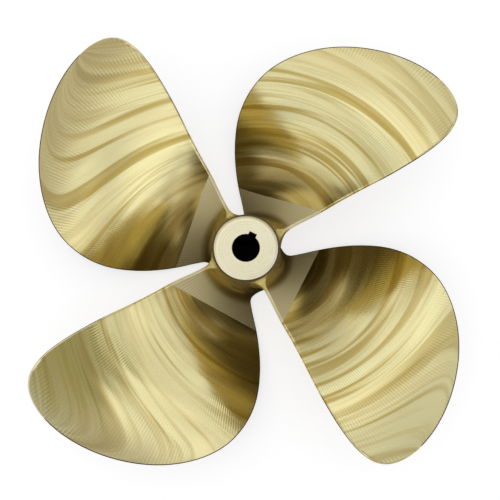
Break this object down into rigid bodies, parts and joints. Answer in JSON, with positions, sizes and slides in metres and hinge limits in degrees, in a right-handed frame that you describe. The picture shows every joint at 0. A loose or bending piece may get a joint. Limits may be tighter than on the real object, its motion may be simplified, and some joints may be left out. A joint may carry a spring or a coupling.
{
  "type": "boat propeller",
  "caption": "Left-hand inboard boat propeller in bronze: broad skewed blades of constant pitch on a hub with a keyed taper bore.",
  "frame": {"origin": "centre of the hub's forward face, on the shaft axis", "axes": "+Z along the shaft axis, pointing aft towards the propeller nut; +X through the middle of the keyway and along the reference line of blade_1"},
  "size_m": [0.5836, 0.5836, 0.1473],
  "materials": {
    "turned_bronze": "fine-turned satin",
    "milled_bronze": "milled, then polished satin"
  },
  "bodies": {
    "root": {"hub": "turned_bronze", "blade_1": "milled_bronze", "blade_2": "milled_bronze", "blade_3": "milled_bronze", "blade_4": "milled_bronze"}
  },
  "joints": []
}
